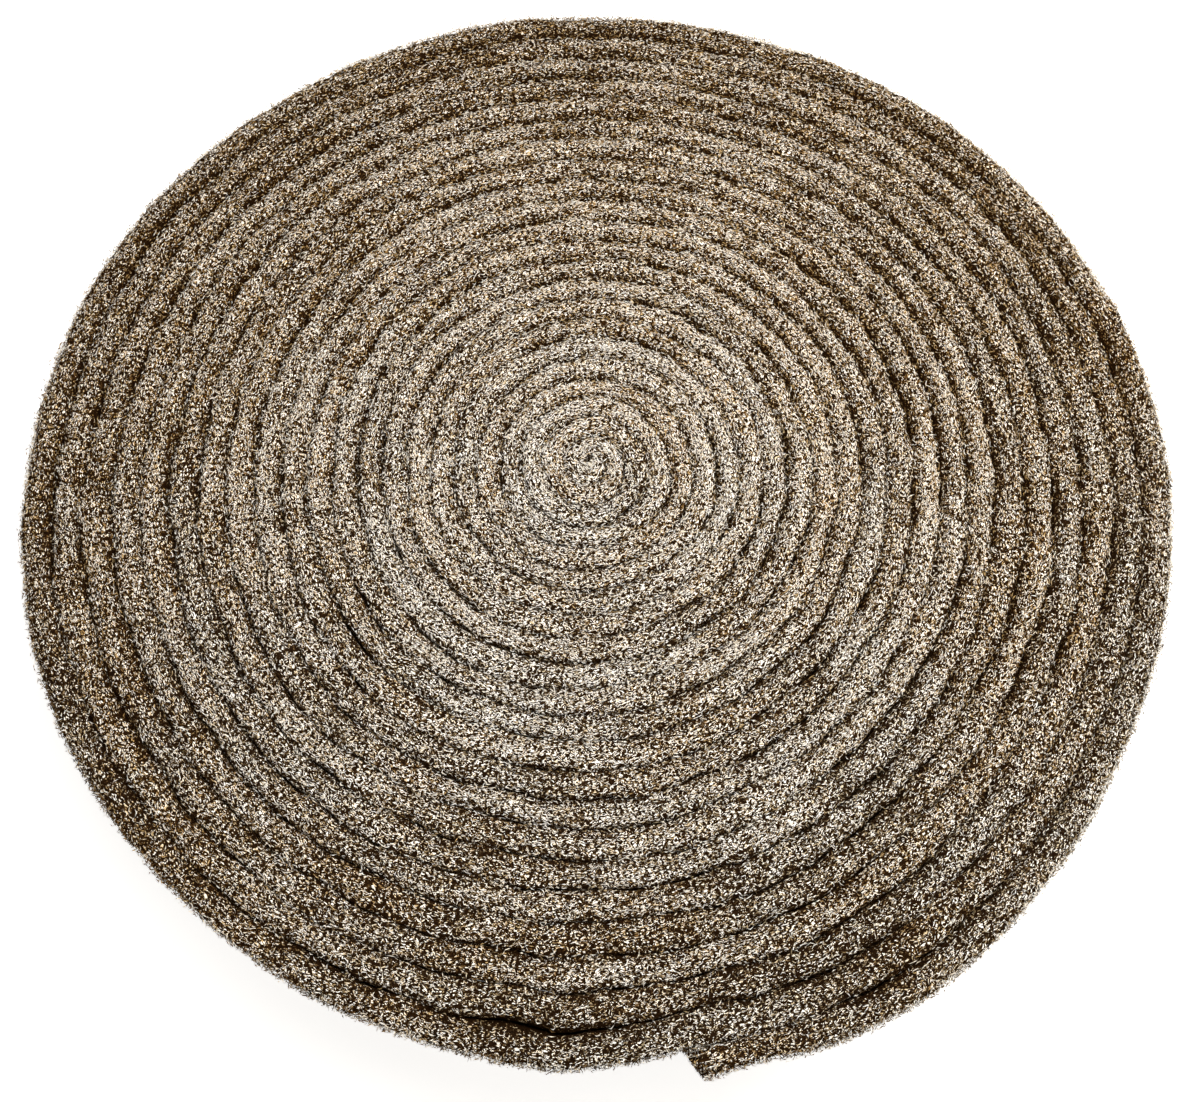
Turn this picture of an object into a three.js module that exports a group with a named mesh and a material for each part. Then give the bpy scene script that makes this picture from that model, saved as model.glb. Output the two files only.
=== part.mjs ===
// Non-woven abrasive roll: one long strip of lofty fibre web wound on itself, lying on its cut edge.
// Millimetres, +Z up. The roll rests on z = 0 and its plan outline is centred on the Z axis.
import * as THREE from 'three';

const STRIP_WIDTH = 100; // the web's width, which is the roll's height as it lies
const WEB_LOFT = 6.95; // the loose web's thickness, as in the last turn
const CORE_LOFT = 4.7; // its thickness near the core, where the winding presses it
const FREE_END_LOFT = 5.4; // its thickness where it was cut off
const FREE_END_LENGTH = 60; // length over which it thins towards that cut
const FREE_END_ANGLE = 281; // degrees from +X, where the cut lies on the outside
const TURN_GAP = 0.8; // open groove between two turns
const TURNS = 22.4; // from the core to the free end
const CORE_RADIUS = 0.6; // the eye that the first turn closes on
const CORE_EASE = 0.5; // turns over which the crushed start of the web comes up to its full step
const EDGE_INSET = 1.95; // how far each long edge is rounded over, across the loose web
const EDGE_DROP = 1.5; // how far that rounding reaches down the web
const STEPS = 700; // facets along the web
const STEP_CROWDING = 0.75; // under 1, the facets turn less and less from the core to the rim

// The loose web's section as it lies flat: its thickness along x and its width along y.
const section = new THREE.Shape([
  new THREE.Vector2(EDGE_INSET, 0),
  new THREE.Vector2(WEB_LOFT - EDGE_INSET, 0),
  new THREE.Vector2(WEB_LOFT, EDGE_DROP),
  new THREE.Vector2(WEB_LOFT, STRIP_WIDTH - EDGE_DROP),
  new THREE.Vector2(WEB_LOFT - EDGE_INSET, STRIP_WIDTH),
  new THREE.Vector2(EDGE_INSET, STRIP_WIDTH),
  new THREE.Vector2(0, STRIP_WIDTH - EDGE_DROP),
  new THREE.Vector2(0, EDGE_DROP),
]);

// The web's inner face is a spiral that starts nearly closed and then steps out a little more each turn.
const corePitch = CORE_LOFT + TURN_GAP;
const pitchGrowth = (WEB_LOFT - CORE_LOFT) / TURNS;
const innerFace = (turn) => {
  const eased = turn - CORE_EASE * (1 - Math.exp(-turn / CORE_EASE));
  return CORE_RADIUS + corePitch * eased + (pitchGrowth * turn * turn) / 2;
};

// Wound up, the web fills the step to the next turn less the groove, and thins towards its cut.
const freeEndTurns = FREE_END_LENGTH / (2 * Math.PI * innerFace(TURNS));
const woundLoft = (turn) =>
  THREE.MathUtils.lerp(
    innerFace(turn + 1) - TURN_GAP - innerFace(turn),
    FREE_END_LOFT,
    THREE.MathUtils.smoothstep(turn, TURNS - freeEndTurns, TURNS),
  );

// The flat strip, one unit long, with a ring of section points at each step.
const strip = new THREE.ExtrudeGeometry(section, { depth: 1, steps: STEPS, bevelEnabled: false });

// Winding it up: seen from above it runs clockwise from the core out to the free end.
const freeEnd = THREE.MathUtils.degToRad(FREE_END_ANGLE);
const position = strip.attributes.position;
for (let i = 0; i < position.count; i++) {
  const turn = TURNS * position.getZ(i) ** STEP_CROWDING;
  const angle = freeEnd + 2 * Math.PI * (TURNS - turn);
  const radius = innerFace(turn) + (woundLoft(turn) * position.getX(i)) / WEB_LOFT;
  position.setXYZ(i, radius * Math.cos(angle), radius * Math.sin(angle), position.getY(i));
}
strip.computeVertexNormals();
strip.center();
strip.translate(0, 0, STRIP_WIDTH / 2);

const web = new THREE.MeshStandardMaterial({ color: 0x827463, roughness: 0.95, metalness: 0 });

const roll = new THREE.Mesh(strip, web);
roll.name = 'abrasive_roll';

const part = new THREE.Group();
part.add(roll);

export default part;
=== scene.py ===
"""A roll of non-woven abrasive web: one wound strip with its matted fibres, on a pale floor."""
import math
from collections import namedtuple

import bmesh
import bpy
import numpy as np
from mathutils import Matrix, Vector


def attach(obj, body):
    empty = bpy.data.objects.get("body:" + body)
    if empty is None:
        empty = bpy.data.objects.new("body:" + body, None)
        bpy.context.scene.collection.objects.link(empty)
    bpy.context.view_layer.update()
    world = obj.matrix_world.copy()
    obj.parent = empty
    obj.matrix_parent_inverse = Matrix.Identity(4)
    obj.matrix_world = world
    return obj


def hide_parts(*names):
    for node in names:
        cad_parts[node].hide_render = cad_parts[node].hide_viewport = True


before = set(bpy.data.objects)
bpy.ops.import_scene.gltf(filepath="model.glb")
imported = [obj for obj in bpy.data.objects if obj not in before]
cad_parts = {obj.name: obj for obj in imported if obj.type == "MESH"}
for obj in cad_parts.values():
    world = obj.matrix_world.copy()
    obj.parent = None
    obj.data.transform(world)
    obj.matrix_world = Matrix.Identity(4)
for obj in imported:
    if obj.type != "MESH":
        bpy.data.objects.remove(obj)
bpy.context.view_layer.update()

# The wound strip, in millimetres and turns, as in the solid
STRIP_WIDTH = 100.0  # the web's width, which is the roll's height as it lies
WEB_LOFT = 6.95  # the loose web's thickness, as in the last turn
CORE_LOFT = 4.7  # its thickness near the core, where the winding presses it
FREE_END_LOFT = 5.4  # its thickness where it was cut off
FREE_END_LENGTH = 60.0  # length over which it thins towards that cut
FREE_END_ANGLE = 281.0  # degrees from +X, where the cut lies on the outside
TURN_GAP = 0.8  # the solid's even groove between two turns
TURNS = 22.4  # from the core to the free end
CORE_RADIUS = 0.6  # the eye that the first turn closes on
CORE_EASE = 0.5  # turns over which the crushed start of the web comes up to its full step
PATH_STEPS = 20000  # steps in which the web's length is added up
OUTLINE_TURNS = 1.1  # turns before the free end that make the roll's outline
OUTLINE_STEPS = 4000  # places on them
MM = 0.001  # in metres

# The web's section: shares of its thickness from the inner face, and millimetres up its width
CROWN_ACROSS = (0.0, 0.07, 0.18, 0.34, 0.5, 0.66, 0.82, 0.93, 1.0)
OUTER_ROWS = (93.0, 50.0, 7.0)
FOOT_ACROSS = (1.0, 0.8, 0.5, 0.2, 0.0)
INNER_ROWS = (7.0, 93.0)
CREST = 0.62  # where the rounded crown is highest
INNER_DROP = 1.84  # how far the crown falls from its crest to the inner face
OUTER_DROP = 1.6  # how far it falls to the outer face
INNER_FALL = 2.2  # power by which it falls inwards, which leaves the crest flat
OUTER_FALL = 3  # power by which it falls outwards
EDGE_BAND = 4.0  # the rounded edges lie within this of the web's two long edges
CROWN_SINK = 0.55  # how far the matted crown lies below the web's full width
CROWN_ROUGH = 0.22  # unevenness of the crown, up and down
SIDE_ROUGH = 0.12  # its unevenness across
ROUGH_SEED = 5  # of its random draws
BODY_STEPS = 3600  # facets along the web
BODY_CROWDING = 0.6  # under 1, the facets turn less and less from the core to the rim
NEARLY_ALL = 0.99  # share from which a place counts as on the outer face or in the cut

# The cut free end, in millimetres
END_LENGTH = 20.0  # length that leans, slants and wears
END_LEAN = 6.3  # how far the cut leans out at its top
END_SLANT = 3.4  # how far its outer face is drawn back
END_WEAR = 1.6  # how far its crown is worn down
END_WEAR_FALL = 6  # power by which that wear fades away from the cut
END_FLARE = 0.8  # how far the outer face flares
END_FLARE_LENGTH = 7.0  # length over which it does
END_PRESSED = 22.0  # length over which the end presses the groove under it shut
END_CLEAR = 55.0  # length from which that groove is as open as others

# Random waves along the web: wavelength in millimetres, share and seed
GROOVE_WAVES = ((13.0, 0.5, 11), (5.0, 0.5, 12))
TONE_WAVES = ((60.0, 0.55, 31), (18.0, 0.45, 32))
LIGHT_WAVES = ((45.0, 0.6, 41), (12.0, 0.4, 42))
WANDER_WAVES = ((11.0, 1.1, 51), (4.2, 0.9, 52))

# The hand-wound turns, which stray from an even spiral
SWAYS = (  # reach in millimetres, waves a turn, start and change with each turn inwards in radians
    (0.5, 2, 1.44, -0.15),
    (0.9, 3, 0.0, 0.11),
    (0.5, 4, 0.46, -0.2),
    (0.25, 7, 2.0, 0.4),
)
END_HUMPS = ((1.6, 267.5, 5.0), (-1.8, 283.0, 6.0))  # millimetres, then middle and half width in degrees
END_HUMP_TURNS = (4.0, 0.6)  # turns in from the rim where the humps begin and are full
WANDER_MIDDLE = 1.0  # what the wandering groove's waves come to on average, in millimetres
WANDER_TURNS = 2.0  # turns from the core in which the grooves come to wander
RIM_WANDER = 0.4  # share of the wander on the roll's outer face
EYE_RADIUS = 0.12  # the inner face's radius in the crushed eye, in millimetres
EYE_TURNS = (0.55, 1.0)  # turns over which that face comes out to its own radius

# The grooves between the turns
CLOSED_GAP = 0.1  # millimetres between two turns below their edges
EDGE_GAP = 0.08  # millimetres added at their edges
OPEN_GAP = 0.42  # millimetres added there in an open groove
GROOVE_RANGE = (0.25, 0.85)  # wave values at which a groove is shut and open
TIGHT_CORE = 0.45  # how far grooves open by the core
LOOSE_TURNS = (1.0, 12.0)  # turns over which they come to open fully
SIDE_OPEN = 0.9  # how far grooves open at the roll's left and right
FAR_OPEN = 0.3  # how much further at its far side, and less at its near side
CREVICES = ((1.955, 0.028, 1.3), (1.043, 0.011, 1.1))  # turns from the end, half length in turns, gape
SHUT_DEPTH = 0.62  # share of the crown's fall beside a shut groove
OPEN_DEPTH = 0.95  # what an open one adds
NEAR_SHALLOWER = 0.25  # share by which grooves are shallower at the near left

# How light the web is drawn, from 0 to 1, with painted shade by the grooves, towards the rim and at the
# near left
SHADE_TURNED = 0.6  # radians clockwise from the far side to the darkest painted groove shade
LIGHT_TURNED = 0.8  # radians clockwise from the far side to where the web is painted lightest
INNER_EDGE_FALL = 1.5  # power by which the painted shade fades from the inner face to the middle
OUTER_EDGE = (0.85, 1.0)  # shares across the web where the outer edge's shade begins and is full
GROOVE_SHADE = 0.31  # painted shade that a shut groove takes away at the edges beside it
OPEN_SHADE = 0.37  # what an open one takes besides
FAR_SHADE = 0.11  # painted shade that grooves take besides at the far right, and give back at the near left
NEAR_LIGHTER = 0.05  # what they give back besides at the near left
DEEPEST_SHADE = 0.72  # the most that a groove takes
PRESSED_SHADE = 0.35  # share of it that is left under the free end
CORE_SHADE = 0.88  # share of it by the core
SHADE_TURNS = (1.0, 8.0)  # turns over which that share comes up to 1
RIM_EDGE_SHADE = 0.1  # what the roll's outer edge takes away
PAINTED_RIM_SHADE = 0.15  # painted shade, a fall of light towards the rim: what it takes away from edge to edge
RIM_DIM_RISE = 3  # power by which that painted shade deepens towards the rim
PATCH_LIGHT = 0.85  # how far the random stretches go from dark to light by the core
PATCH_OUTWARD = 0.4  # how much further they go at the rim
PAINTED_SIDE_SHADE = 0.16  # painted shade: how much darker the rim gets in each quarter round from its lightest side
CORE_DIM = 0.14  # how much darker the core is
CORE_DIM_TURNS = 3.0  # turns over which that fades
BODY_STRETCHES = 0.24  # share of these stretches that shows on the matted web
HIDDEN_LIGHT = 0.3  # painted shade on the faces between the turns
PLAIN_LIGHT = 0.9  # on the rim, the underside and the cut

# Rusty web at a tone of 0 and grey web at 1
MEAN_TONE = 0.36  # half way out
PATCH_TONE = 1.4  # how far the random stretches go from rusty to grey
OUTWARD_TONE = 0.6  # how much rustier the rim is than the core
FAR_TONE = 0.55  # painted warm light: how much rustier the far side is than the left and right
TONE_SPREAD = 0.28  # among neighbouring fibres

# The kinds of loose fibre: length and width in millimetres, bend in radians, swing and shaft as shares
Fibre = namedtuple("Fibre", "length width bend swing shaft")
CURL = Fibre(length=1.7, width=0.22, bend=(0.8, 3.4), swing=0.1, shaft=0.4)
NEEDLE = Fibre(length=1.35, width=0.275, bend=(0.6, 2.4), swing=0.0, shaft=0.0)
LENGTH_SPREAD = 0.3  # as the spread of the lengths' logarithms
LENGTH_LIMITS = (0.6, 3.5)  # in millimetres
WIDTH_RANGE = (0.7, 1.2)  # as shares of the kind's width

# How many there are
CURLS = 7600
NEEDLES = 31000  # in each of the upper layers
NEEDLE_LAYERS = 3
RIM_CURLS = 2000
RIM_NEEDLES = 14000
FRINGE_NEEDLES = 8000
END_NEEDLES = 1500
FOOT_NEEDLES = 6000

# The spread of their headings, and of the sides they bend to, along the web, out and up
CROWN_LIE = ((1.0, 0.36, 0.2), (0.3, 1.0, 0.5))
RIM_LIE = ((1.0, 0.42, 0.7), (0.6, 0.5, 1.0))
FRINGE_LIE = ((0.7, 1.0, 0.45), (0.8, 0.5, 0.8))
END_LIE = ((0.6, 1.0, 0.7), (0.6, 0.8, 0.8))

# Their shades, from dark at 0 to light at 1, and the shares of cream and tan ones
CREAM_SHADES = (0.87, 1.0)
TAN_SHADES = (0.35, 0.7)
BROWN_SHADES = (0.0, 0.12)
CREAM_SHARE = 0.71
CREAM_LOST = 0.39  # at the rim, as a painted fall of light towards it
TAN_SHARE = 0.2  # at the middle between the lightest side and the darkest
TAN_FAR = 0.09  # how many more at the lightest side
RIM_CREAM = 1.5  # factor on the share of cream ones on the rim, painted light on its shaded wall
FRINGE_CREAM = 2.0  # factor in the fringe, painted light
END_CREAM = 0.6  # factor in the cut, painted shade on its face
RIM_SHADE = 0.3  # the darkest on the rim and in the fringe, kept light as painted light

# The fibres over the crowns, in millimetres and in shares of the web's thickness
FUZZ_DROP = 0.7  # share of the crown's fall that they follow
OVERHANG = 0.09  # how far past the web's faces they lie
OVER_GROOVE = 0.46  # distance from the web's middle from which one lies over a groove
SHUT_MISSING = 0.2  # share of those that is missing over a shut groove
OPEN_MISSING = 0.45  # what an open one adds
ON_CROWN = (0.1, 0.9)  # where these lie instead
CROWN_LIFT = (-0.3, 0.26)  # middle and spread of their lift
LIGHT_LIFT = 0.45  # how much higher the light ones lie
LEVEL_SHADE = 0.4  # shade that isn't lifted
LIFT_LIMITS = (-0.8, 0.7)
FOOT_RISE = 0.1  # the least height above the floor under the roll

# The fibres on the rim, in millimetres
RIM_HEIGHTS = (0.4, 99.0)
UPPER_RIM = (95.0, 99.4)  # heights near the upper edge
UPPER_SHARE = 0.3  # share of the fibres that lies there
RIM_PROUD = (0.25, 0.3)  # middle and spread of how far they stand out
UPPER_PROUD = 0.2  # how much further these stand out
PROUD_LIMITS = (-0.3, 1.1)
RIM_LENGTH = 0.8  # share of a fibre's usual length

# The fringe round the upper edge, in millimetres
FRINGE_TOP = 0.7  # its start below the web's full width
FRINGE_DEPTH = 3.2  # how far down it reaches from there
FRINGE_CROWDING = 1.6  # over 1, it is thicker at its top
FRINGE_PROUD = (-0.55, 0.75)  # how far it stands out at its top and its foot
FRINGE_PROUDEST = 0.5  # the most that it stands out before its spread
FRINGE_SPREAD = 0.15  # of how far it stands out

# The fibres in the cut
CUT_FLOOR = 0.4  # height of the lowest, in millimetres
CUT_TOP_SHARE = 0.3  # share of them that lies on the worn crown
CUT_TOP_DEPTH = 0.8  # millimetres that these reach below it
CUT_FRAY = (-0.0012, 0.0004)  # turns back into the web and out of it
CUT_TOP_REACH = 0.006  # turns that they reach back along it

# The pressed fibres drawn on the matted web, in millimetres
STROKE_CELL = (1.35, 0.27, 0.27)  # along, across and up the web
STROKE_LAYERS = (  # the pattern's place and its slant in degrees
    ((0, 0, 0), 4),
    ((37, 11, 5), 32),
    ((71, 23, 9), -29),
    ((23, 57, 31), 8),
)
STROKE_EDGE = (0.46, 0.36)  # cells from its middle at which a stroke begins and is full
STROKE_LIGHT = (0.49, 0.77)  # random values at which a stroke is dark and light
STROKE_ROUND = (0.5, 0.0)  # cells from its middle at which it is lowest and highest
STROKE_DIM = 0.5  # what the least light takes from those random values
GAP_SHADE = 0.1  # shade between the strokes at full light
STIR_SCALE = 0.6  # waves in a millimetre by which the strokes curl
STIR_DETAIL = 1.0  # finer waves on them
STIR_REACH = 1.4  # how far these shift the strokes
BUMP_HEIGHT = 0.00015  # in metres
BUMP_STRENGTH = 0.7

# The web's colours by shade
RUSTY = (
    (0.0, (0.010, 0.004, 0.001)),
    (0.12, (0.031, 0.013, 0.003)),
    (0.35, (0.175, 0.084, 0.022)),
    (0.65, (0.55, 0.37, 0.15)),
    (0.82, (0.87, 0.70, 0.45)),
    (1.0, (0.99, 0.98, 0.96)),
)
GREY = (
    (0.0, (0.010, 0.004, 0.001)),
    (0.12, (0.027, 0.014, 0.006)),
    (0.35, (0.130, 0.085, 0.040)),
    (0.65, (0.47, 0.38, 0.24)),
    (0.82, (0.87, 0.77, 0.60)),
    (1.0, (0.99, 0.99, 0.99)),
)

# The web's map, from 0 to 1: where its faces lie and how large they are there
ROLL_REACH = 0.153  # a little over half the roll's breadth, in metres
UPPER_MIDDLE = (0.35, 0.65)
UPPER_REACH = 0.345
UNDER_MIDDLE = (0.855, 0.855)
UNDER_REACH = 0.14
WALL_STRIPS = 3  # lengths that the last turn's wall is cut into
WALL_CORNER = (0.002, 0.002)
WALL_LENGTH = 0.68
WALL_STEP = 0.097
WALL_HEIGHT = 0.092
CUT_CORNER = (0.72, 0.61)
CUT_SIZE = (0.10, 0.08)
HIDDEN_CORNER = (0.72, 0.005)
HIDDEN_SIZE = (0.12, 0.59)
SECOND_STEP = 0.14  # from the core's cut to the free end's, and from inner faces to outer ones
FIBRE_CELL = 0.7  # share of its square that a fibre fills on the fibres' map

# The pale floor, in metres, and its glow, which keeps the far floor white
FLOOR_SIZE = 3.0
FLOOR_COLOUR = (0.9, 0.9, 0.9, 1)
FLOOR_REACH = (0.35, 1.0)  # distances between which the glow rises
FLOOR_GLOW = (0.62, 0.80)
WHITE = (1, 1, 1, 1)

# The studio's light: the sky's colour, and each lamp's place and size in metres, watts and colour
SKY = (0.306, 0.292, 0.270, 1)
LAMPS = (
    ("key_lamp", (0.02, -0.02, 0.40), 0.2, 1.07, (1.0, 0.977, 0.94)),
    ("back_lamp", (0.42, 0.26, 0.50), 0.3, 2.26, (1.0, 0.912, 0.763)),
    ("low_lamp", (-0.40, 0.36, 0.12), 0.3, 0.7, (1.0, 0.97, 0.93)),
    ("front_lamp", (0.45, -0.50, 0.55), 0.4, 1.64, (1.0, 0.967, 0.92)),
)

# The photograph's view, with lengths in millimetres on the roll's upper face
PHOTO_FOCAL = 1254.0  # in pixels
PHOTO_WIDTH = 1200.0  # in pixels
SENSOR_WIDTH = 36.0
VIEW_ELEVATION = 70.11  # in degrees
VIEW_DISTANCE = 321.0
AIM_FROM_EYE = (2.83, -24.6)
NEAR_CLIP = 0.01  # in metres


def between(low, high, share):
    return low + (high - low) * share


def smooth(value, low, high):
    """Rises softly from 0 at low to 1 at high."""
    part = np.clip((value - low) / (high - low), 0, 1)
    return part * part * (3 - 2 * part)


def inner_face(turn):
    """Radius of the web's inner face, counted in turns from the core."""
    pitch = CORE_LOFT + TURN_GAP
    growth = (WEB_LOFT - CORE_LOFT) / TURNS
    eased = turn - CORE_EASE * (1 - np.exp(-turn / CORE_EASE))
    return CORE_RADIUS + pitch * eased + growth * turn * turn / 2


def wound_loft(turn):
    """The web's thickness in the roll, thinner towards its free end."""
    full = inner_face(turn + 1) - TURN_GAP - inner_face(turn)
    end_turns = FREE_END_LENGTH / (2 * math.pi * inner_face(TURNS))
    return between(full, FREE_END_LOFT, smooth(turn, TURNS - end_turns, TURNS))


# Length along the web at each of many places on the winding
winding = np.linspace(0, TURNS, PATH_STEPS + 1)
path_step = 2 * math.pi * (inner_face(winding) + wound_loft(winding) / 2) * TURNS / PATH_STEPS
path_length = np.concatenate([[0.0], np.cumsum((path_step[1:] + path_step[:-1]) / 2)])
WEB_LENGTH = path_length[-1]


def length_at(turn):
    return np.interp(turn, winding, path_length)


def turn_at(length):
    return np.interp(length, path_length, winding)


def wound_angle(turn):
    return math.radians(FREE_END_ANGLE) + 2 * math.pi * (TURNS - turn)


def roll_axis():
    """Where the winding's axis lies when the roll's outline is centred."""
    turn = np.linspace(TURNS - OUTLINE_TURNS, TURNS, OUTLINE_STEPS)
    radius = inner_face(turn) + wound_loft(turn)
    x = radius * np.cos(wound_angle(turn))
    y = radius * np.sin(wound_angle(turn))
    return -(x.max() + x.min()) / 2, -(y.max() + y.min()) / 2


AXIS_X, AXIS_Y = roll_axis()


def drift(turn, waves):
    """Smooth random values along the web, added up from waves of several lengths."""
    length = length_at(turn)
    total = 0.0
    for wavelength, share, seed in waves:
        knots = np.random.default_rng(seed).random(int(WEB_LENGTH / wavelength) + 3)
        at = length / wavelength
        low = at.astype(int)
        total = total + share * between(knots[low], knots[low + 1], smooth(at - low, 0, 1))
    return total


def far_side(turn, turned=0.0):
    """1 at the roll's far side and -1 at its near side, both turned clockwise by some radians."""
    return np.sin(wound_angle(turn) + turned)


def near_left(turn):
    """1 at the roll's near left and 0 over its far half."""
    return np.clip(-far_side(turn, SHADE_TURNED), 0, 1)


def nearer_groove(turn, across):
    """The turn whose outer groove is the nearer one to a place on the web."""
    return np.where(across > 0.5, turn, turn - 1)


def clear_of_end(turn):
    """Falls to 0 in the groove that the free end is pressed down on."""
    by_end = (turn > TURNS - 2) & (turn < TURNS - 1)
    clear = smooth(length_at(turn + 1), WEB_LENGTH - END_PRESSED, WEB_LENGTH - END_CLEAR)
    return np.where(by_end, clear, 1.0)


def groove_open(turn):
    """How open the groove outside the web is at a place: 0 where it is shut, 1 and more where it gapes."""
    looser = between(TIGHT_CORE, 1.0, smooth(turn, *LOOSE_TURNS)) * (SIDE_OPEN + FAR_OPEN * far_side(turn))
    opened = smooth(drift(turn, GROOVE_WAVES), *GROOVE_RANGE) * looser * clear_of_end(turn)
    for from_end, half_length, gape in CREVICES:
        opened = np.maximum(opened, gape * np.exp(-((turn - TURNS + from_end) / half_length) ** 2))
    return opened


def light_under_painted_shade(turn, across):
    """How light the web is drawn: lightest on the crest of a turn, with painted shade beside the grooves,
    deepest by open ones, and a painted fall of light towards the rim.
    """
    edge = np.maximum(np.clip(1 - 2 * across, 0, 1) ** INNER_EDGE_FALL, smooth(across, *OUTER_EDGE))
    groove = nearer_groove(turn, across)
    shade = GROOVE_SHADE + OPEN_SHADE * groove_open(groove) + FAR_SHADE * far_side(turn, SHADE_TURNED)
    shade = np.minimum(shade - NEAR_LIGHTER * near_left(turn), DEEPEST_SHADE)
    shade *= between(PRESSED_SHADE, 1.0, clear_of_end(groove))
    shade *= between(CORE_SHADE, 1.0, smooth(turn, *SHADE_TURNS))
    shade = np.where(groove > TURNS - 1, RIM_EDGE_SHADE, shade)
    return (1 - edge * shade) * (1 - PAINTED_RIM_SHADE * (turn / TURNS) ** RIM_DIM_RISE)


def stretches_and_painted_shade(turn):
    """Lighter and darker stretches along the web, about 1, darker in the core, with painted shade at the
    near left.
    """
    outward = turn / TURNS
    patch = (PATCH_LIGHT + PATCH_OUTWARD * outward) * (drift(turn, LIGHT_WAVES) - 0.5)
    painted_side_shade = PAINTED_SIDE_SHADE * outward * (1 - far_side(turn, LIGHT_TURNED))
    in_core = CORE_DIM * np.exp(-((turn / CORE_DIM_TURNS) ** 2))
    return 1 + patch - painted_side_shade - in_core


def web_tone(turn):
    """Rusty stretches, at 0, and grey ones, at 1, along the web, which is greyer in the core and painted
    warmer at the far side.
    """
    outward = turn / TURNS
    patch = PATCH_TONE * (drift(turn, TONE_WAVES) - 0.5)
    far = far_side(turn, SHADE_TURNED - outward) * np.clip(2 * outward, 0, 1)
    return np.clip(MEAN_TONE + patch + OUTWARD_TONE * (0.5 - outward) - FAR_TONE * far, 0, 1)


def groove_width(turn, by_edge):
    """The open width outside the web, which is wider by its rounded edges."""
    return CLOSED_GAP + (EDGE_GAP + OPEN_GAP * groove_open(turn)) * by_edge


def groove_depth(turn, across):
    """How deep the crown's edges fall to the groove beside them, deeper where it gapes."""
    depth = SHUT_DEPTH + OPEN_DEPTH * groove_open(nearer_groove(turn, across))
    return depth * (1 - NEAR_SHALLOWER * near_left(turn))


def crown_drop(across):
    """How far the rounded crown lies below its crest, which is nearer the outer face."""
    inner = np.clip((CREST - across) / CREST, 0, 1)
    outer = np.clip((across - CREST) / (1 - CREST), 0, 1)
    return INNER_DROP * inner**INNER_FALL + OUTER_DROP * outer**OUTER_FALL


def hump(angle, middle, half_width):
    """A smooth hump of height 1 round a direction, in degrees."""
    off = (np.degrees(angle) - middle + 180) % 360 - 180
    return np.exp(-((off / half_width) ** 2))


def sway(turn, face):
    """How far a face of the hand-wound turns strays from an even spiral."""
    angle = wound_angle(turn)
    inward = TURNS - turn - face
    stray = sum(
        reach * np.sin(waves * angle + start + step * inward) for reach, waves, start, step in SWAYS
    )
    humps = sum(reach * hump(angle, middle, half_width) for reach, middle, half_width in END_HUMPS)
    return (stray + humps * smooth(inward, *END_HUMP_TURNS)) * np.clip(turn / TURNS, 0, 1)


def wander(turn):
    """How far the groove outside the web strays from its even line."""
    return (drift(turn, WANDER_WAVES) - WANDER_MIDDLE) * np.clip(turn / WANDER_TURNS, 0, 1)


def face_radius(turn, across, by_edge=True):
    """Radius at a share of the web's thickness, with the roll's sway and uneven grooves."""
    inside = inner_face(turn) - TURN_GAP / 2 + groove_width(turn - 1, by_edge) / 2 + wander(turn - 1)
    from_eye = between(EYE_RADIUS, inside, smooth(turn, *EYE_TURNS))
    inside = np.where(turn < 1, from_eye, inside) + sway(turn, -0.5)
    outermost = turn > TURNS - 1
    outside = inner_face(turn + 1) - TURN_GAP / 2 - groove_width(turn, by_edge) / 2
    outside = np.where(outermost, inner_face(turn) + wound_loft(turn), outside)
    outside = outside + wander(turn) * np.where(outermost, RIM_WANDER, 1.0) + sway(turn, 0.5)
    outside += END_FLARE * smooth(length_at(turn), WEB_LENGTH - END_FLARE_LENGTH, WEB_LENGTH)
    return between(inside, outside, across)


def near_cut(turn):
    """Rises from 0 to 1 over the last stretch before the cut free end."""
    return smooth(length_at(turn), WEB_LENGTH - END_LENGTH, WEB_LENGTH)


def end_wear(turn):
    """How far the crown is worn down, nearly all of it at the cut."""
    return END_WEAR * near_cut(turn) ** END_WEAR_FALL


def slanted(turn, across, height):
    """Leans the cut out at its top and draws its outer face back."""
    reach = END_LEAN * height / STRIP_WIDTH - END_SLANT * across
    return turn + near_cut(turn) * reach / (2 * math.pi * inner_face(TURNS))


def on_roll(turn, radius, height):
    """Places in metres in the row frame."""
    angle = wound_angle(turn)
    x = radius * np.cos(angle) + AXIS_X
    y = radius * np.sin(angle) + AXIS_Y
    return np.stack([x, y, height], -1) * MM


def new_object(name, data):
    made = bpy.data.objects.new(name, data)
    bpy.context.scene.collection.objects.link(made)
    return made


def new_piece(name, mesh, material):
    piece = new_object(name, mesh)
    mesh.materials.append(material)
    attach(piece, "root")
    return piece


def new_mesh(name, bm):
    mesh = bpy.data.meshes.new(name)
    bm.to_mesh(mesh)
    bm.free()
    return mesh


def made_by(kind, mesh, name, **settings):
    """The mesh that a modifier makes of a simple one."""
    maker = new_object("maker", mesh)
    modifier = maker.modifiers.new("making", kind)
    for key, value in settings.items():
        setattr(modifier, key, value)
    depsgraph = bpy.context.evaluated_depsgraph_get()
    made = bpy.data.meshes.new_from_object(maker.evaluated_get(depsgraph))
    made.name = name
    bpy.data.objects.remove(maker)
    bpy.data.meshes.remove(mesh)
    return made


def mesh_points(mesh):
    points = np.empty(len(mesh.vertices) * 3, np.float32)
    mesh.vertices.foreach_get("co", points)
    return points.reshape(-1, 3).astype(float)


def set_mesh_points(mesh, points):
    mesh.vertices.foreach_set("co", points.astype(np.float32).ravel())
    mesh.update()


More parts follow.
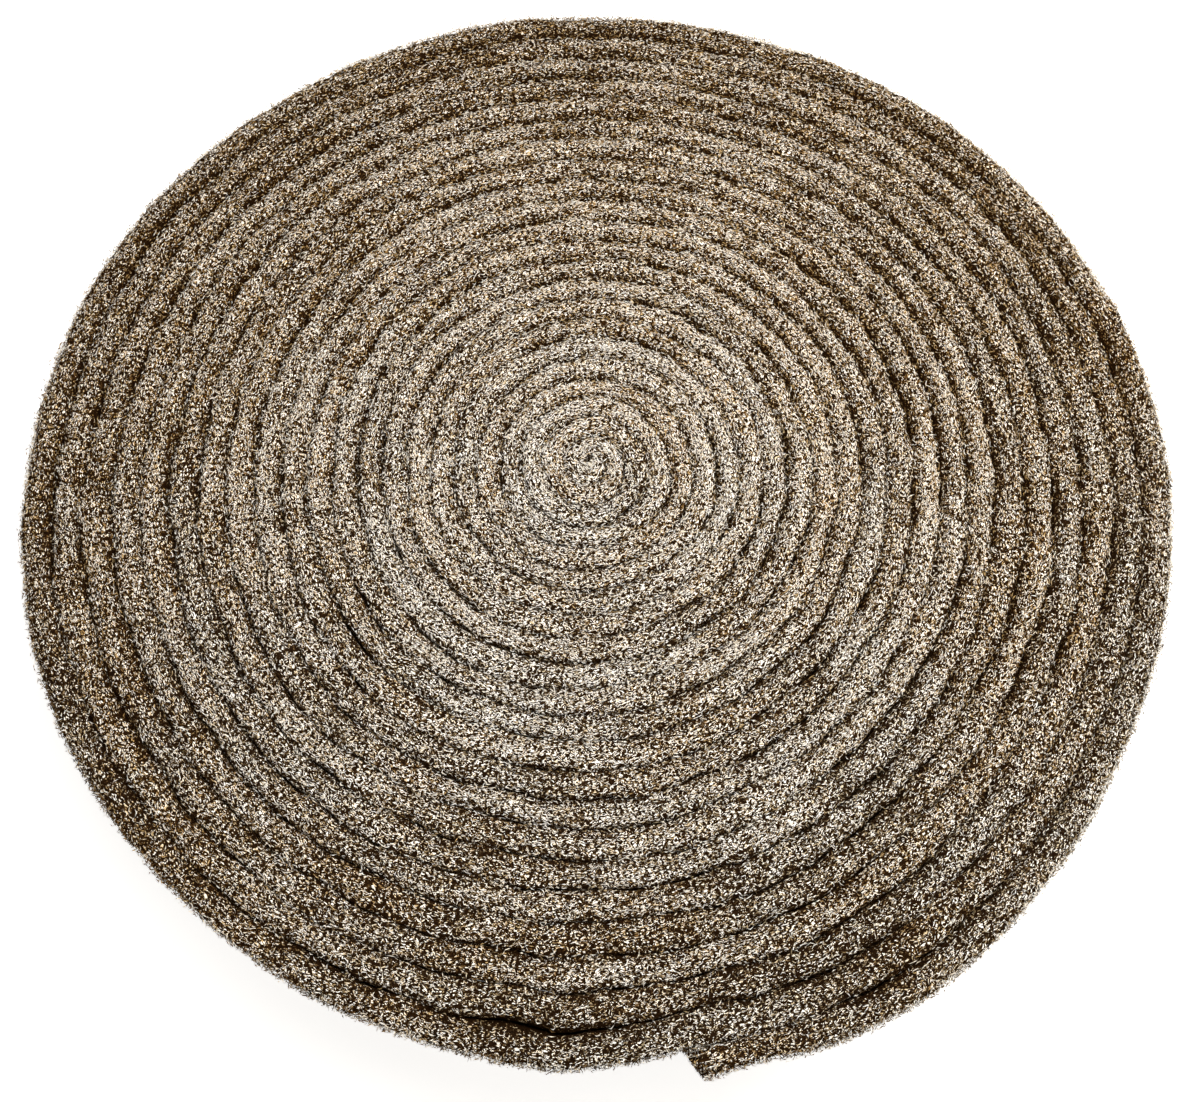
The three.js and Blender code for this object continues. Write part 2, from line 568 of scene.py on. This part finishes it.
def point_values(mesh, name, values):
    """Stores one number, or one vector, for each point of a mesh."""
    kind, key = ("FLOAT", "value") if values.ndim == 1 else ("FLOAT_VECTOR", "vector")
    layer = mesh.attributes.new(name, kind, "POINT")
    layer.data.foreach_set(key, values.astype(np.float32).ravel())


def corner_points(mesh):
    """The number of the point at each corner of each face."""
    corner = np.empty(len(mesh.loops), np.int32)
    mesh.loops.foreach_get("vertex_index", corner)
    return corner


def set_map(mesh, places):
    layer = mesh.uv_layers.new(name="OFBake")
    layer.uv.foreach_set("vector", places.astype(np.float32).ravel())


def flat_strip():
    """The unrolled web: across its thickness in x, up its width in y and along it in z."""
    bm = bmesh.new()
    section = [(a, STRIP_WIDTH - CROWN_SINK - float(crown_drop(a))) for a in CROWN_ACROSS]
    section += [(1.0, height) for height in OUTER_ROWS]
    section += [(a, float(crown_drop(a))) for a in FOOT_ACROSS]
    section += [(0.0, height) for height in INNER_ROWS]
    ring = [bm.verts.new((across, height, 0.0)) for across, height in section]
    for a, b in zip(ring, ring[1:] + ring[:1]):
        bm.edges.new((a, b))
    return made_by(
        "SCREW", new_mesh("web_section", bm), "wound_web", axis="Z", angle=0.0, screw_offset=1.0,
        steps=BODY_STEPS, render_steps=BODY_STEPS, use_merge_vertices=False,
    )


def wind_up(mesh):
    """Winds the flat strip on its core, roughens its crown and closes its ends."""
    flat = mesh_points(mesh)
    across, section_height = flat[:, 0], flat[:, 1]
    crown = section_height > STRIP_WIDTH - EDGE_BAND
    under = section_height < EDGE_BAND
    even_turn = TURNS * np.clip(flat[:, 2], 0, 1) ** BODY_CROWDING
    crest = STRIP_WIDTH - CROWN_SINK
    grooved = crest - (crest - section_height) * groove_depth(even_turn, across)
    height = np.where(crown, grooved, section_height)
    turn = slanted(even_turn, across, height)
    rng = np.random.default_rng(ROUGH_SEED)
    radius = face_radius(turn, across, crown | under)
    radius += rng.normal(0, SIDE_ROUGH, len(flat)) * crown
    rough = (rng.normal(0, CROWN_ROUGH, len(flat)) - end_wear(even_turn)) * crown
    set_mesh_points(mesh, on_roll(turn, radius, height + rough))
    point_values(mesh, "lay", np.stack([length_at(turn), across * wound_loft(turn), height], 1))
    point_values(mesh, "tone", web_tone(turn))
    # Painted shade: the light value darkens the matted web beside the grooves, towards the rim, at the near
    # left and on the faces between the turns
    light = light_under_painted_shade(turn, across) * between(1.0, stretches_and_painted_shade(turn), BODY_STRETCHES)
    light = np.where(crown, light, HIDDEN_LIGHT)
    rim = (turn > TURNS - 1) & (across > NEARLY_ALL)
    plain = rim | under | (near_cut(even_turn) > NEARLY_ALL)
    point_values(mesh, "light", np.where(plain, PLAIN_LIGHT, light))
    bm = bmesh.new()
    bm.from_mesh(mesh)
    bmesh.ops.holes_fill(bm, edges=[e for e in bm.edges if e.is_boundary])
    bmesh.ops.recalc_face_normals(bm, faces=bm.faces)
    bm.to_mesh(mesh)
    bm.free()
    mesh.shade_smooth()
    map_web(mesh, turn, across, section_height)


def map_web(mesh, turn, across, height):
    """A map with most room for what shows: the upper face, the last turn's wall and the underside."""
    corner = corner_points(mesh)
    start, sides = np.empty((2, len(mesh.polygons)), np.int32)
    mesh.polygons.foreach_get("loop_start", start)
    mesh.polygons.foreach_get("loop_total", sides)

    def lowest(values):
        return np.repeat(np.minimum.reduceat(values[corner], start), sides)

    def placed(at, size, u, v):
        return np.stack([at[0] + size[0] * u, at[1] + size[1] * v], 1)

    x, y = (mesh_points(mesh)[corner, :2] / ROLL_REACH).T
    along = length_at(turn)[corner] / WEB_LENGTH
    side = across[corner]
    up = height[corner] / STRIP_WIDTH
    last_turn = turn - TURNS + 1
    strip = np.clip(np.floor(WALL_STRIPS * lowest(last_turn)), 0, WALL_STRIPS - 1)
    wall = placed(WALL_CORNER, (WALL_LENGTH, WALL_HEIGHT), WALL_STRIPS * last_turn[corner] - strip, up)
    wall[:, 1] += WALL_STEP * strip
    cut = placed(CUT_CORNER, CUT_SIZE, side, up)
    cut[:, 0] += SECOND_STEP * along
    hidden = placed(HIDDEN_CORNER, HIDDEN_SIZE, up, along)
    hidden[:, 0] += SECOND_STEP * (side > 0.5)
    # Only the two cuts have more than four corners
    places = (
        (np.repeat(sides > 4, sides), cut),
        (lowest(height) > STRIP_WIDTH - EDGE_BAND, placed(UPPER_MIDDLE, (UPPER_REACH, UPPER_REACH), x, y)),
        (lowest(-height) > -EDGE_BAND, placed(UNDER_MIDDLE, (UNDER_REACH, UNDER_REACH), x, y)),
        ((lowest(last_turn) > 0) & (lowest(across) > NEARLY_ALL), wall),
    )
    picks = [pick[:, None] for pick, _ in places]
    set_map(mesh, np.select(picks, [place for _, place in places], hidden))


def straight_fibre(kind):
    """One fibre of unit length and radius: a shaft with drawn-out tips, or a sliver that is all tips."""
    bm = bmesh.new()
    if kind.shaft:
        bmesh.ops.create_cone(bm, cap_ends=True, segments=3, radius1=1.0, radius2=1.0, depth=kind.shaft)
    else:
        # A sliver's two tips meet at its middle
        bmesh.ops.create_cone(bm, cap_ends=True, segments=3, radius1=1.0, radius2=0.0, depth=0.5)
        bmesh.ops.translate(bm, verts=bm.verts, vec=(0, 0, 0.25))
    caps = [f for f in bm.faces if abs(f.normal.z) > 0.9]
    for tip in bmesh.ops.poke(bm, faces=caps)["verts"]:
        on_upper_cap = tip.co.z > 0.1
        tip.co.z = 0.5 if on_upper_cap else -0.5
    bmesh.ops.recalc_face_normals(bm, faces=bm.faces)
    return new_mesh("straight_fibre", bm)


def unit(vectors):
    return vectors / np.linalg.norm(vectors, axis=-1, keepdims=True)


def bend_fibres(mesh, lay, bend, swing):
    """Bends each straight fibre into an arc with a slight S and lays it in its place."""
    count = len(lay["place"])
    shaft = mesh_points(mesh).reshape(count, -1, 3)
    heading = unit(lay["heading"])
    side = unit(lay["side"] - heading * (lay["side"] * heading).sum(1, keepdims=True))
    across = np.cross(heading, side)
    along = shaft[:, :, 2]
    arc = bend[:, None] * along
    reach = (lay["length"] / bend)[:, None]
    path = reach[..., None] * (
        np.sin(arc)[..., None] * heading[:, None] + (1 - np.cos(arc))[..., None] * side[:, None]
    )
    swung = (swing * lay["length"])[:, None] * np.sin(2 * math.pi * along)
    path += swung[..., None] * across[:, None]
    outward = -np.sin(arc)[..., None] * heading[:, None] + np.cos(arc)[..., None] * side[:, None]
    thick = (lay["width"] / 2)[:, None, None]
    skin = thick * (shaft[:, :, :1] * outward + shaft[:, :, 1:2] * across[:, None])
    points = lay["place"][:, None] + (path + skin) * MM
    points[..., 2] = np.maximum(points[..., 2], 0.0)
    set_mesh_points(mesh, points.reshape(-1, 3))


def map_fibres(mesh, count, shaft):
    """A map on which every fibre has a square of its own."""
    cells = math.ceil(math.sqrt(count))
    corner = corner_points(mesh)
    fibre, point = corner // len(shaft), corner % len(shaft)
    x, y, z = shaft[point].T
    round_it = np.arctan2(y, x) / (2 * math.pi) + 0.5
    is_tip = np.hypot(x, y) < 0.1
    inside = np.stack([np.where(is_tip, 0.5, round_it), z + 0.5], 1) * FIBRE_CELL + (1 - FIBRE_CELL) / 2
    cell = np.stack([fibre % cells, fibre // cells], 1)
    set_map(mesh, (cell + inside) / cells)


def fibre_piece(name, material, kind, lay, seed):
    """A layer of fibres, sorted by shade so that neighbours on the map look alike."""
    order = np.argsort(lay["shade"])
    lay = {key: values[order] for key, values in lay.items()}
    count = len(order)
    rng = np.random.default_rng(seed)
    single = straight_fibre(kind)
    shaft = mesh_points(single)
    mesh = made_by("ARRAY", single, name, count=count, use_relative_offset=False)
    map_fibres(mesh, count, shaft)
    bend = rng.uniform(*kind.bend, count)
    bend_fibres(mesh, lay, bend, rng.normal(0, kind.swing, count))
    for key in ("shade", "tone"):
        point_values(mesh, key, np.repeat(lay[key], len(shaft)))
    mesh.shade_smooth()
    new_piece(name, mesh, material)


def winding_axes(turn):
    """Unit vectors along the web, out from the axis and up at each place."""
    angle = wound_angle(turn)
    flat = np.zeros_like(angle)
    out = np.stack([np.cos(angle), np.sin(angle), flat], 1)
    along = np.stack([np.sin(angle), -np.cos(angle), flat], 1)
    return along, out, np.stack([flat, flat, flat + 1], 1)


def fibre_shades(rng, turn, light):
    """Mostly cream fibres among tan and brown ones, fewer where the web is painted darker."""
    count = len(turn)
    cream = (CREAM_SHARE - CREAM_LOST * (turn / TURNS) ** 2) * stretches_and_painted_shade(turn) * light
    tan = TAN_SHARE + TAN_FAR * far_side(turn, LIGHT_TURNED)
    draw = rng.random(count)
    shade = np.where(draw < cream, rng.uniform(*CREAM_SHADES, count), rng.uniform(*TAN_SHADES, count))
    return np.where(draw > cream + tan, rng.uniform(*BROWN_SHADES, count), shade)


def laid(rng, kind, turn, place, lie, shade):
    """Fibres at their places, with a spread of headings and of sides to bend to."""
    count = len(turn)
    axes = winding_axes(turn)
    heading, side = (
        sum(axis * rng.normal(0, spread, (count, 1)) for axis, spread in zip(axes, spreads))
        for spreads in lie
    )
    length = np.clip(kind.length * rng.lognormal(0, LENGTH_SPREAD, count), *LENGTH_LIMITS)
    width = kind.width * rng.uniform(*WIDTH_RANGE, count)
    tone = np.clip(web_tone(turn) + rng.normal(0, TONE_SPREAD, count), 0, 1)
    return {
        "place": place, "heading": heading, "side": side, "length": length, "width": width,
        "shade": shade, "tone": tone,
    }


def crown_fibres(kind, count, seed, foot=False):
    """Fibres over the web's upper cut edge, or under its lower one, and few over open grooves."""
    rng = np.random.default_rng(seed)
    turn = turn_at(rng.uniform(0, WEB_LENGTH, count))
    across = rng.uniform(-OVERHANG, 1 + OVERHANG, count)
    missing = SHUT_MISSING + OPEN_MISSING * groove_open(nearer_groove(turn, across))
    kept_off = (np.abs(across - 0.5) > OVER_GROOVE) & (rng.random(count) < missing)
    across = np.where(kept_off, rng.uniform(*ON_CROWN, count), across)
    # Fewer cream fibres where painted shade falls beside the grooves and towards the rim
    shade = fibre_shades(rng, turn, light_under_painted_shade(turn, across))
    lift = np.clip(rng.normal(*CROWN_LIFT, count) + LIGHT_LIFT * (shade - LEVEL_SHADE), *LIFT_LIMITS)
    drop = crown_drop(np.clip(across, 0, 1)) * groove_depth(turn, across)
    height = STRIP_WIDTH - FUZZ_DROP * drop + lift - end_wear(turn)
    if foot:
        height = np.maximum(STRIP_WIDTH - height, FOOT_RISE)
    turn = slanted(turn, across, height)
    place = on_roll(turn, face_radius(turn, across), height)
    return laid(rng, kind, turn, place, CROWN_LIE, shade)


def rim_fibres(kind, count, seed):
    """Fibres on the outer face of the last turn, closer together near its upper edge."""
    rng = np.random.default_rng(seed)
    turn = rng.uniform(TURNS - 1, TURNS, count)
    upper = rng.random(count) < UPPER_SHARE
    height = np.where(upper, rng.uniform(*UPPER_RIM, count), rng.uniform(*RIM_HEIGHTS, count))
    turn = slanted(turn, 1.0, height)
    proud = np.clip(rng.normal(*RIM_PROUD, count) + UPPER_PROUD * upper, *PROUD_LIMITS)
    # Painted light: the rim's fibres are drawn lighter, with no dark ones
    shade = np.maximum(fibre_shades(rng, turn, RIM_CREAM), RIM_SHADE)
    place = on_roll(turn, face_radius(turn, 1.0) + proud, height)
    lay = laid(rng, kind, turn, place, RIM_LIE, shade)
    lay["length"] *= RIM_LENGTH
    return lay


def fringe_fibres(count, seed):
    """Pale fibres that stand out round the last turn's upper edge, their paleness partly painted light."""
    rng = np.random.default_rng(seed)
    turn = rng.uniform(TURNS - 1, TURNS, count)
    down = rng.uniform(0, 1, count) ** FRINGE_CROWDING
    height = STRIP_WIDTH - FRINGE_TOP - FRINGE_DEPTH * down
    turn = slanted(turn, 1.0, height)
    proud = np.minimum(between(*FRINGE_PROUD, down), FRINGE_PROUDEST) + rng.normal(0, FRINGE_SPREAD, count)
    shade = np.maximum(fibre_shades(rng, turn, FRINGE_CREAM), RIM_SHADE)
    place = on_roll(turn, face_radius(turn, 1.0) + proud, height)
    return laid(rng, NEEDLE, turn, place, FRINGE_LIE, shade)


def end_fibres(count, seed):
    """Fibres frayed out of the cut at the free end."""
    rng = np.random.default_rng(seed)
    across = rng.uniform(0, 1, count)
    worn_crown = STRIP_WIDTH - END_WEAR
    height = rng.uniform(CUT_FLOOR, worn_crown, count)
    on_top = rng.random(count) < CUT_TOP_SHARE
    height = np.where(on_top, worn_crown - rng.uniform(0, CUT_TOP_DEPTH, count), height)
    turn = slanted(np.full(count, TURNS), across, height) + rng.uniform(*CUT_FRAY, count)
    turn -= on_top * rng.uniform(0, CUT_TOP_REACH, count)
    # Painted shade on the cut's face: fewer cream fibres there
    shade = fibre_shades(rng, turn, END_CREAM)
    place = on_roll(turn, face_radius(turn, across), height)
    return laid(rng, NEEDLE, turn, place, END_LIE, shade)


def together(*lays):
    return {key: np.concatenate([lay[key] for lay in lays]) for key in lays[0]}


def add_node(tree, kind, inputs=None, **settings):
    """A new node with its settings, and its inputs linked to sockets or set to plain values."""
    node = tree.nodes.new(kind)
    for key, value in settings.items():
        setattr(node, key, value)
    for key, value in (inputs or {}).items():
        if isinstance(value, bpy.types.NodeSocket):
            tree.links.new(value, node.inputs[key])
        else:
            node.inputs[key].default_value = value
    return node


def attribute(tree, name):
    return add_node(tree, "ShaderNodeAttribute", attribute_name=name)


def number(tree, operation, first, second):
    """A maths node on two values, each a socket or a plain number."""
    return add_node(tree, "ShaderNodeMath", {0: first, 1: second}, operation=operation).outputs[0]


def graded(tree, value, low, high, kind="LINEAR", to=(0.0, 1.0)):
    """A value spread from 0 at low to 1 at high, or over another range."""
    inputs = {"Value": value, "From Min": low, "From Max": high, "To Min": to[0], "To Max": to[1]}
    return add_node(tree, "ShaderNodeMapRange", inputs, interpolation_type=kind).outputs["Result"]


def colour_ramp(tree, value, stops):
    node = add_node(tree, "ShaderNodeValToRGB", {"Fac": value})
    ramp = node.color_ramp
    while len(ramp.elements) < len(stops):
        ramp.elements.new(0.5)
    for element, (position, colour) in zip(ramp.elements, stops):
        element.position = position
        element.color = (*colour, 1.0)
    return node.outputs["Color"]


def mixed_colour(tree, share, first, second):
    """The first colour at a share of 0 and the second at 1, by the Mix node's colour sockets."""
    return add_node(tree, "ShaderNodeMix", {0: share, 6: first, 7: second}, data_type="RGBA").outputs[2]


def web_colour_group():
    """Turns a fibre's shade and tone into its colour."""
    group = bpy.data.node_groups.new("web_colour", "ShaderNodeTree")
    group.interface.new_socket("Shade", in_out="INPUT", socket_type="NodeSocketFloat")
    group.interface.new_socket("Tone", in_out="INPUT", socket_type="NodeSocketFloat")
    group.interface.new_socket("Colour", in_out="OUTPUT", socket_type="NodeSocketColor")
    given = add_node(group, "NodeGroupInput")
    rusty, grey = (colour_ramp(group, given.outputs["Shade"], stops) for stops in (RUSTY, GREY))
    add_node(group, "NodeGroupOutput", {"Colour": mixed_colour(group, given.outputs["Tone"], rusty, grey)})
    return group


def new_material(name, roughness, specular):
    material = bpy.data.materials.new(name)
    material.use_nodes = True
    shader = material.node_tree.nodes["Principled BSDF"]
    shader.inputs["Roughness"].default_value = roughness
    shader.inputs["Specular IOR Level"].default_value = specular
    return material, material.node_tree, shader


def paint_web(tree, shader, colours, shade):
    """Colours the web by a shade and by the tone of the place."""
    tone = attribute(tree, "tone").outputs["Fac"]
    colour = add_node(tree, "ShaderNodeGroup", node_tree=colours)
    tree.links.new(shade, colour.inputs["Shade"])
    tree.links.new(tone, colour.inputs["Tone"])
    tree.links.new(colour.outputs["Colour"], shader.inputs["Base Color"])


def fibre_material(colours):
    material, tree, shader = new_material("abrasive_fibre", roughness=0.6, specular=0.03)
    paint_web(tree, shader, colours, attribute(tree, "shade").outputs["Fac"])
    return material


def curly_lay(tree):
    """Places along, across and up the web, stirred so that what is drawn on them curls."""
    lay = attribute(tree, "lay").outputs["Vector"]
    stir = add_node(tree, "ShaderNodeTexNoise", {"Vector": lay, "Scale": STIR_SCALE, "Detail": STIR_DETAIL})
    centring = {0: stir.outputs["Color"], 1: (0.5, 0.5, 0.5)}
    centred = add_node(tree, "ShaderNodeVectorMath", centring, operation="SUBTRACT")
    stirring = {0: centred.outputs["Vector"], 1: (STIR_REACH, STIR_REACH, STIR_REACH), 2: lay}
    return add_node(tree, "ShaderNodeVectorMath", stirring, operation="MULTIPLY_ADD").outputs["Vector"]


def matted_strokes(tree, below, lay, dim, place, slant):
    """Short pressed fibres, dark and light, over the layers below, and the distance from their middles."""
    turned = (0, math.radians(slant), math.radians(slant))
    placing = {"Vector": lay, "Location": place, "Rotation": turned, "Scale": STROKE_CELL}
    cells = add_node(tree, "ShaderNodeMapping", placing, vector_type="TEXTURE")
    grains = add_node(tree, "ShaderNodeTexVoronoi", {"Vector": cells.outputs["Vector"], "Scale": 1.0})
    from_middle = grains.outputs["Distance"]
    own = add_node(tree, "ShaderNodeSeparateColor", {"Color": grains.outputs["Color"]})
    light = number(tree, "SUBTRACT", own.outputs["Red"], dim)
    laying = {
        "Factor": graded(tree, from_middle, *STROKE_EDGE),
        "A": below,
        "B": graded(tree, light, *STROKE_LIGHT, "SMOOTHSTEP"),
    }
    return add_node(tree, "ShaderNodeMix", laying).outputs["Result"], from_middle


def matted_material(colours):
    """The web behind the loose fibres: dark gaps between pressed, curly fibres."""
    material, tree, shader = new_material("matted_web", roughness=0.8, specular=0.02)
    curled = curly_lay(tree)
    # The light value carries painted shade: where it is low, the strokes are fewer and darker
    light = attribute(tree, "light").outputs["Fac"]
    dim = number(tree, "MULTIPLY", number(tree, "SUBTRACT", 1.0, light), STROKE_DIM)
    mat = number(tree, "MULTIPLY", light, GAP_SHADE)
    for place, slant in STROKE_LAYERS:
        mat, from_middle = matted_strokes(tree, mat, curled, dim, place, slant)
    paint_web(tree, shader, colours, mat)
    rounding = {
        "Height": graded(tree, from_middle, *STROKE_ROUND),
        "Distance": BUMP_HEIGHT,
        "Strength": BUMP_STRENGTH,
    }
    bump = add_node(tree, "ShaderNodeBump", rounding)
    tree.links.new(bump.outputs["Normal"], shader.inputs["Normal"])
    return material


def pale_floor():
    bm = bmesh.new()
    bmesh.ops.create_grid(bm, x_segments=1, y_segments=1, size=FLOOR_SIZE)
    mesh = new_mesh("floor", bm)
    floor = new_object("floor", mesh)
    material, tree, shader = new_material("pale_floor", roughness=0.9, specular=0.0)
    shader.inputs["Base Color"].default_value = FLOOR_COLOUR
    shader.inputs["Emission Color"].default_value = WHITE
    where = add_node(tree, "ShaderNodeTexCoord").outputs["Object"]
    away = add_node(tree, "ShaderNodeVectorMath", {0: where}, operation="LENGTH").outputs["Value"]
    level = graded(tree, away, *FLOOR_REACH, to=FLOOR_GLOW)
    seen = add_node(tree, "ShaderNodeLightPath").outputs["Is Camera Ray"]
    tree.links.new(number(tree, "MULTIPLY", seen, level), shader.inputs["Emission Strength"])
    mesh.materials.append(material)


def add_lamp(name, place, size, power, colour):
    data = bpy.data.lights.new(name, "AREA")
    data.shape = "DISK"
    data.size = size
    data.energy = power
    data.color = colour
    lamp = new_object(name, data)
    lamp.location = place
    aim = Vector((0, 0, STRIP_WIDTH * MM)) - Vector(place)
    lamp.rotation_euler = aim.to_track_quat("-Z", "Y").to_euler()


def studio_light():
    """Lamps and a dim sky, which the camera sees as white."""
    world = bpy.data.worlds.new("studio")
    bpy.context.scene.world = world
    world.use_nodes = True
    tree = world.node_tree
    seen = add_node(tree, "ShaderNodeLightPath").outputs["Is Camera Ray"]
    tree.links.new(mixed_colour(tree, seen, SKY, WHITE), tree.nodes["Background"].inputs["Color"])
    for lamp in LAMPS:
        add_lamp(*lamp)


def photo_camera():
    data = bpy.data.cameras.new("photo_camera")
    data.sensor_width = SENSOR_WIDTH
    data.lens = SENSOR_WIDTH * PHOTO_FOCAL / PHOTO_WIDTH
    data.clip_start = NEAR_CLIP
    camera = new_object("photo_camera", data)
    aim = Vector((AXIS_X + AIM_FROM_EYE[0], AXIS_Y + AIM_FROM_EYE[1], STRIP_WIDTH)) * MM
    tilt = math.radians(VIEW_ELEVATION)
    back = Vector((0, -math.cos(tilt), math.sin(tilt)))
    camera.location = aim + back * VIEW_DISTANCE * MM
    camera.rotation_euler = (-back).to_track_quat("-Z", "Y").to_euler()
    bpy.context.scene.camera = camera


def abrasive_roll():
    colours = web_colour_group()
    fibre = fibre_material(colours)
    body_mesh = flat_strip()
    wind_up(body_mesh)
    body = new_piece("wound_web", body_mesh, matted_material(colours))
    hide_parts("abrasive_roll")
    fibre_piece("top_curls", fibre, CURL, crown_fibres(CURL, CURLS, seed=100), seed=200)
    for i in range(NEEDLE_LAYERS):
        layer = crown_fibres(NEEDLE, NEEDLES, seed=110 + i)
        fibre_piece(f"top_needles_{i + 1}", fibre, NEEDLE, layer, seed=210 + i)
    fibre_piece("rim_curls", fibre, CURL, rim_fibres(CURL, RIM_CURLS, seed=120), seed=220)
    rim = together(
        rim_fibres(NEEDLE, RIM_NEEDLES, seed=130),
        end_fibres(END_NEEDLES, seed=131),
        fringe_fibres(FRINGE_NEEDLES, seed=132),
    )
    fibre_piece("rim_needles", fibre, NEEDLE, rim, seed=230)
    foot = crown_fibres(NEEDLE, FOOT_NEEDLES, seed=140, foot=True)
    fibre_piece("foot_needles", fibre, NEEDLE, foot, seed=240)


abrasive_roll()
pale_floor()
studio_light()
photo_camera()
bpy.context.scene.view_settings.view_transform = "Standard"
